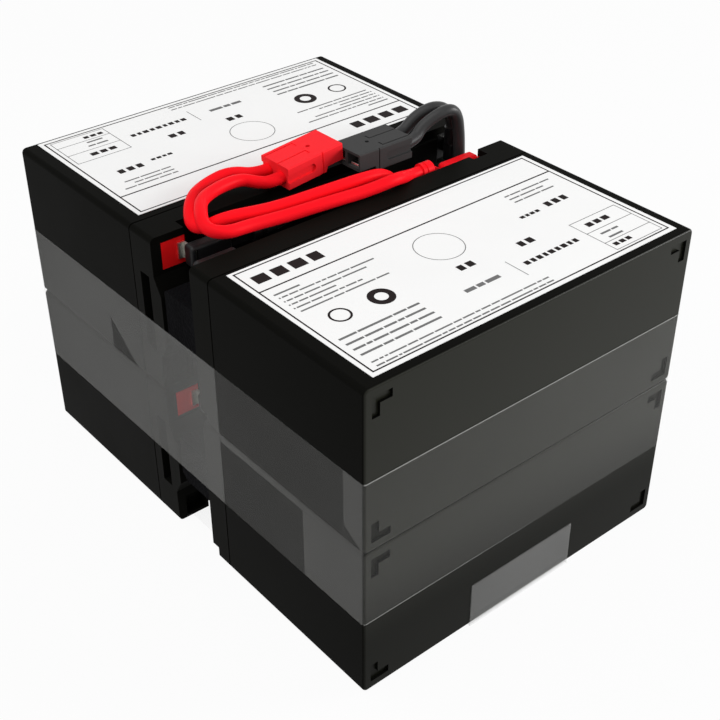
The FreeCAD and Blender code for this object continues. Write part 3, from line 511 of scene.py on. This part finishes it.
def wrap_tape():
    """The tape round the pack: one thin band with round corners, just off the cases."""
    low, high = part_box("tape_band")
    middle = (low + high) / 2
    bpy.ops.mesh.primitive_cube_add(size=1.0, location=middle)
    band = bpy.context.object
    band.name = "clear_tape_wrap"
    bpy.ops.object.mode_set(mode="EDIT")
    bpy.ops.mesh.select_all(action="SELECT")
    bpy.ops.transform.resize(value=high - low, center_override=middle)
    bpy.ops.mesh.select_mode(type="EDGE")
    bpy.ops.mesh.select_all(action="DESELECT")
    bpy.ops.object.mode_set(mode="OBJECT")
    corners = band.data.vertices
    for edge in band.data.edges:
        run = corners[edge.vertices[0]].co - corners[edge.vertices[1]].co
        edge.select = abs(run.z) > 0.5 * run.length
    bpy.ops.object.mode_set(mode="EDIT")
    bpy.ops.mesh.bevel(offset=TAPE_ROUND, segments=8, affect="EDGES")
    bpy.ops.mesh.select_mode(type="FACE")
    bpy.ops.mesh.select_all(action="DESELECT")
    bpy.ops.object.mode_set(mode="OBJECT")
    for polygon in band.data.polygons:
        polygon.select = abs(polygon.normal.z) > 0.9
    bpy.ops.object.mode_set(mode="EDIT")
    bpy.ops.mesh.delete(type="FACE")
    bpy.ops.object.mode_set(mode="OBJECT")
    wall = band.modifiers.new("wall", "SOLIDIFY")
    wall.thickness = TAPE_WALL
    wall.offset = -1.0
    bpy.ops.object.modifier_apply(modifier="wall")
    bpy.ops.object.transform_apply(location=True, rotation=True, scale=True)
    band.data.materials.clear()
    band.data.materials.append(TAPE)
    band.select_set(False)
    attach(band, "root")
    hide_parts("tape_band")


wrap_tape()


# leads

LEAD_ROUTES = {
    "red_lead_upper": [
        (36.0, -9.5, 129.85), (27.0, -9.5, 129.85), (15.8, -15.6, 135.0),
        (3.0, -13.7, 133.3), (-14.1, -11.9, 133.6), (-32.1, -9.3, 133.1),
        (-45.2, -8.0, 133.8), (-57.4, -9.1, 135.2), (-61.7, -3.7, 136.2),
        (-58.6, 3.7, 138.0), (-51.1, 13.7, 138.1), (-32.1, 19.2, 136.8),
        (-25.6, 15.2, 134.7), (-21.91, 11.76, 134.87), (-10.95, 12.12, 135.77),
    ],
    "red_lead_lower": [
        (36.0, -6.0, 57.45), (27.0, -6.0, 57.45), (12.6, -6.0, 68.0),
        (13.0, -6.2, 87.0), (27.5, -5.2, 109.5), (26.0, -4.4, 123.5),
        (17.5, -6.2, 132.8), (4.8, -8.2, 135.5), (-14.9, -5.3, 134.4),
        (-33.1, -3.1, 133.8), (-50.3, -0.3, 135.4), (-58.3, 3.6, 132.0),
        (-59.8, 9.1, 132.2), (-52.0, 20.0, 135.0), (-41.8, 26.4, 134.6),
        (-30.0, 27.0, 135.9), (-22.18, 19.65, 134.96), (-11.22, 20.02, 135.86),
    ],
    "black_lead_upper": [
        (65.0, 7.6, 128.95), (65.0, 7.6, 137.95), (57.2, 8.5, 144.2),
        (47.9, 11.4, 141.1), (40.84, 11.49, 134.95), (29.84, 11.34, 135.04),
    ],
    "black_lead_lower": [
        (65.0, 7.6, 63.95), (65.0, 7.6, 72.95), (64.5, 4.0, 89.0), (63.9, 1.6, 104.8),
        (63.4, 1.4, 120.8), (63.3, 2.0, 132.7), (62.0, 2.5, 141.7), (56.4, 2.5, 144.7),
        (45.8, 5.2, 139.6), (40.95, 3.6, 135.14), (29.95, 3.44, 135.23),
    ],
}
LEAD_WIDTH = 4.8 * MM


def lay_lead(node, finish):
    """A free lead: a smooth curve through its route, in place of its solid."""
    curve = bpy.data.curves.new(node + "_wire", "CURVE")
    curve.dimensions = "3D"
    curve.bevel_depth = LEAD_WIDTH / 2
    curve.bevel_resolution = 6
    curve.resolution_u = 10
    curve.use_fill_caps = True
    route = LEAD_ROUTES[node]
    spline = curve.splines.new("NURBS")
    spline.points.add(len(route) - 1)
    for point, place in zip(spline.points, route):
        point.co = (*[part * MM for part in place], 1.0)
    spline.order_u = 3
    spline.use_endpoint_u = True
    curve.materials.append(finish)
    lead = bpy.data.objects.new(node + "_wire", curve)
    scene.collection.objects.link(lead)
    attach(lead, "root")
    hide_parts(node)


lay_lead("red_lead_upper", RED_SHEATH)
lay_lead("red_lead_lower", RED_SHEATH)
lay_lead("black_lead_upper", BLACK_SHEATH)
lay_lead("black_lead_lower", BLACK_SHEATH)


# label print

INK = make_plastic("label_ink", (0.016, 0.012, 0.012), 0.45, 0.55, 0.001, 0.00001, spread=0.1,
                   specular_ior_level=0.03)
GREY_INK = make_plastic("label_grey_ink", (0.16, 0.16, 0.16), 0.5, 0.6, 0.001, 0.00001,
                        spread=0.05, specular_ior_level=0.05)

# marks on a label in millimetres from its lower left corner: left, bottom, width, height
DARK_BARS = [
    (1.6, 1.8, 0.6, 72.0), (137.2, 1.8, 0.6, 72.0), (1.6, 1.8, 136.2, 0.6),
    (1.6, 73.2, 136.2, 0.6), (1.6, 58.9, 136.2, 0.7),
]
THIN_BARS = [
    (112.0, 3.2, 23.8, 0.3), (112.0, 8.8, 23.8, 0.3), (112.0, 17.1, 23.8, 0.3),
    (112.0, 25.4, 23.8, 0.3), (112.0, 3.2, 0.3, 22.5), (135.5, 3.2, 0.3, 22.5),
    (76.8, 11.2, 0.3, 11.0),
]
# lines of dashes: left, bottom, height, then the lengths of the dashes in turn
BOLD_LINES = [
    (5.0, 63.6, 5.2, (5.6, 5.2, 5.8, 4.8)),
    (116.6, 20.1, 2.6, (3.0, 2.8, 3.2)),
    (81.2, 15.8, 2.3, (2.2, 1.8, 2.2, 1.6, 2.4, 1.8, 2.4, 1.6, 2.0)),
]
DARK_LINES = [
    (61.7, 27.2, 3.2, (2.6, 3.0)), (88.6, 25.6, 3.2, (2.6, 3.0)),
    (102.8, 39.4, 1.6, (2.0, 1.6, 2.0, 1.8)), (116.8, 39.8, 3.2, (2.6, 2.8, 2.6)),
    (114.0, 5.4, 2.0, (2.2, 2.4, 2.2)),
]
TEXT_LINES = [
    (4.6, 54.4, 0.85, (10.5,)),
    (4.8, 51.9, 0.75, (0.6, 2.4, 3.6, 6.2, 2.0, 1.8, 3.8, 5.0, 10.0)),
    (4.8, 49.2, 0.75, (0.6, 2.4, 3.6, 6.4, 8.4, 10.2)),
    (4.8, 46.6, 0.75, (0.6, 2.4, 3.6, 11.0)),
    (4.8, 44.0, 0.75, (0.6, 5.4, 4.4, 6.0, 2.2, 4.4, 2.0)),
    (5.6, 41.4, 0.75, (13.0, 4.2, 12.6, 5.4)),
    (4.6, 21.0, 1.0, (7.0, 14.0, 5.4, 5.0)),
    (4.6, 17.5, 1.0, (7.0, 7.2, 5.2, 2.6, 8.4)),
    (4.6, 14.0, 1.0, (4.8, 2.2, 6.0, 7.8, 3.0, 6.6)),
    (4.6, 10.5, 1.0, (8.6, 4.0, 7.2, 11.6)),
    (4.6, 5.7, 0.7, (2.6, 1.6, 1.2, 7.0, 4.0, 6.0, 7.4, 3.4, 5.0, 2.0, 4.0, 3.6, 9.8, 5.8,
                     2.0, 2.8)),
    (4.6, 3.3, 0.7, (3.2, 4.6, 1.2, 7.8, 7.2, 2.0, 2.8, 2.6, 3.4, 3.4, 3.2, 4.0, 4.4, 9.4,
                     2.0, 3.2, 3.2)),
    (109.6, 54.6, 0.75, (2.4, 5.2, 9.0, 4.8)), (109.6, 52.0, 0.75, (5.0, 7.6, 3.8)),
    (109.6, 49.4, 0.75, (4.2, 8.6, 6.4)),
    (53.6, 16.0, 1.9, (4.6, 3.2, 6.2)),
    (116.0, 13.7, 1.0, (5.0, 3.2)), (116.6, 10.4, 1.0, (7.0,)),
]
# rings: middle across and up, outer and inner radius
RINGS = [(13.9, 32.3, 4.0, 3.2), (31.0, 32.3, 4.8, 2.4)]
PALE_RINGS = [(67.0, 44.0, 9.2, 8.9)]
LEAST_GAP = 0.55          # between two dashes
GAP_TO_HEIGHT = 0.42


def add_bar(left, bottom, width, height):
    """One flat mark, added to the sheet that is being edited."""
    middle = ((left + width / 2) * MM, (bottom + height / 2) * MM, 0.0)
    bpy.ops.mesh.primitive_plane_add(size=1.0, location=middle)
    bpy.ops.transform.resize(value=(width * MM, height * MM, 1.0), center_override=middle)


def add_dashes(left, bottom, height, lengths):
    """A line of dashes with a gap between them that goes with their height."""
    for length in lengths:
        add_bar(left, bottom, length, height)
        left += length + max(LEAST_GAP, height * GAP_TO_HEIGHT)


def add_ring(across, up, outer, inner):
    """A flat ring: a circle of edges extruded to a smaller one."""
    middle = (across * MM, up * MM, 0.0)
    bpy.ops.mesh.primitive_circle_add(vertices=48, radius=outer * MM, location=middle)
    bpy.ops.mesh.extrude_edges_move()
    bpy.ops.transform.resize(value=(inner / outer, inner / outer, 1.0),
                             center_override=middle)


def print_sheet(name, ink, bars, lines, rings):
    """The marks in one ink as a flat mesh, one corner of the label at the origin."""
    mesh = bpy.data.meshes.new(name)
    sheet = bpy.data.objects.new(name, mesh)
    scene.collection.objects.link(sheet)
    bpy.context.view_layer.objects.active = sheet
    sheet.select_set(True)
    bpy.ops.object.mode_set(mode="EDIT")
    for bar in bars:
        add_bar(*bar)
    for line in lines:
        add_dashes(*line)
    for ring in rings:
        add_ring(*ring)
    bpy.ops.mesh.select_all(action="SELECT")
    bpy.ops.mesh.normals_make_consistent(inside=False)
    bpy.ops.object.mode_set(mode="OBJECT")
    mesh.materials.append(ink)
    sheet.select_set(False)
    return sheet


def face_up(sheet):
    """Turn a flat sheet's faces to point upwards."""
    shape = bmesh.new()
    shape.from_mesh(sheet.data)
    for face in shape.faces:
        face.normal_update()
        if face.normal.z < 0:
            face.normal_flip()
    shape.to_mesh(sheet.data)
    shape.free()


def place_sheet(sheet, label, turned):
    """Lay a sheet of marks on its label, with the place put into the mesh."""
    low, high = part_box(label)
    corner = high if turned else low
    sheet.location = (corner.x, corner.y, high.z + PRINT_LIFT)
    sheet.rotation_euler = (0.0, 0.0, math.pi if turned else 0.0)
    sheet.select_set(True)
    bpy.context.view_layer.objects.active = sheet
    bpy.ops.object.transform_apply(location=True, rotation=True, scale=True)
    sheet.select_set(False)
    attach(sheet, "root")


def copy_sheet(sheet, name):
    """The same marks again, with a mesh of their own."""
    other = bpy.data.objects.new(name, sheet.data.copy())
    scene.collection.objects.link(other)
    return other


def print_labels():
    """Rules, boxes and lines of marks, printed once and laid on both labels."""
    dark = print_sheet("near_dark_print", INK, DARK_BARS, BOLD_LINES + DARK_LINES, RINGS)
    grey = print_sheet("near_grey_print", GREY_INK, THIN_BARS, TEXT_LINES, PALE_RINGS)
    for sheet, name in ((dark, "far_dark_print"), (grey, "far_grey_print")):
        face_up(sheet)
        place_sheet(copy_sheet(sheet, name), "far_label", True)
        place_sheet(sheet, "near_label", False)


print_labels()


# floor, light and camera

WHITE = (1.0, 1.0, 1.0, 1.0)
FLOOR_GREY = (0.62, 0.62, 0.62, 1.0)
FLOOR_GLOW = 0.95
SOFT_LIGHT = 0.42
# softboxes: name, place, what it is turned to, side and power
SOFTBOXES = [
    ("key_softbox", (0.85, -0.60, 0.36), (0.0, 0.0, 0.06), 0.5, 9.5),
    ("top_softbox", (-0.55, 0.05, 1.20), (0.0, 0.0, 0.10), 1.3, 9.6),
]
# the camera as it was fitted to the photograph: place, turn in degrees, lens
CAMERA_PLACE = (-0.266974, -0.333638, 0.350852)
CAMERA_TURN = (55.01418, 0.08606, -39.78343)
CAMERA_LENS = 64.083


def seen_white(tree):
    """A mask for what the camera, a reflection or clear plastic looks at."""
    path = tree.nodes.new("ShaderNodeLightPath")
    seen = add_math(tree, "MAXIMUM", path.outputs["Is Camera Ray"],
                    path.outputs["Is Transmission Ray"])
    return add_math(tree, "MAXIMUM", seen, path.outputs["Is Glossy Ray"])


def make_floor():
    """A plain pale floor that turns white for the camera but keeps its shadow."""
    bpy.ops.mesh.primitive_plane_add(size=8.0, location=(0.0, 0.0, 0.0))
    floor = bpy.context.object
    floor.name = "studio_floor"
    material = bpy.data.materials.new("studio_floor")
    material.use_nodes = True
    tree = material.node_tree
    tree.nodes.clear()
    diffuse = tree.nodes.new("ShaderNodeBsdfDiffuse")
    diffuse.inputs["Color"].default_value = FLOOR_GREY
    glow = tree.nodes.new("ShaderNodeEmission")
    glow.inputs["Color"].default_value = WHITE
    mix = tree.nodes.new("ShaderNodeMixShader")
    tree.links.new(add_math(tree, "MULTIPLY", seen_white(tree), FLOOR_GLOW), mix.inputs["Fac"])
    tree.links.new(diffuse.outputs["BSDF"], mix.inputs[1])
    tree.links.new(glow.outputs["Emission"], mix.inputs[2])
    out = tree.nodes.new("ShaderNodeOutputMaterial")
    tree.links.new(mix.outputs["Shader"], out.inputs["Surface"])
    floor.data.materials.append(material)
    floor.select_set(False)


def make_world():
    """Soft light all round, white where the camera or a reflection looks."""
    world = bpy.data.worlds.new("studio")
    scene.world = world
    world.use_nodes = True
    tree = world.node_tree
    tree.nodes.clear()
    soft = tree.nodes.new("ShaderNodeBackground")
    soft.inputs["Color"].default_value = WHITE
    soft.inputs["Strength"].default_value = SOFT_LIGHT
    white = tree.nodes.new("ShaderNodeBackground")
    white.inputs["Color"].default_value = WHITE
    white.inputs["Strength"].default_value = 1.0
    mix = tree.nodes.new("ShaderNodeMixShader")
    tree.links.new(seen_white(tree), mix.inputs["Fac"])
    tree.links.new(soft.outputs["Background"], mix.inputs[1])
    tree.links.new(white.outputs["Background"], mix.inputs[2])
    out = tree.nodes.new("ShaderNodeOutputWorld")
    tree.links.new(mix.outputs["Shader"], out.inputs["Surface"])


def add_softbox(name, place, target, size, power):
    """A square area lamp at a place, turned to a target."""
    lamp = bpy.data.lights.new(name, "AREA")
    lamp.energy = power
    lamp.size = size
    holder = bpy.data.objects.new(name, lamp)
    holder.location = place
    aim = Vector(target) - Vector(place)
    holder.rotation_euler = aim.to_track_quat("-Z", "Y").to_euler()
    scene.collection.objects.link(holder)


def make_camera():
    """The camera at the photograph's place."""
    camera = bpy.data.cameras.new("photo_camera")
    camera.lens = CAMERA_LENS
    camera.sensor_width = 36.0
    camera.clip_start = 0.01
    holder = bpy.data.objects.new("photo_camera", camera)
    holder.location = CAMERA_PLACE
    holder.rotation_euler = Euler([math.radians(turn) for turn in CAMERA_TURN], "XYZ")
    scene.collection.objects.link(holder)
    scene.camera = holder


make_floor()
make_world()
for softbox in SOFTBOXES:
    add_softbox(*softbox)
make_camera()
scene.view_settings.view_transform = "Standard"
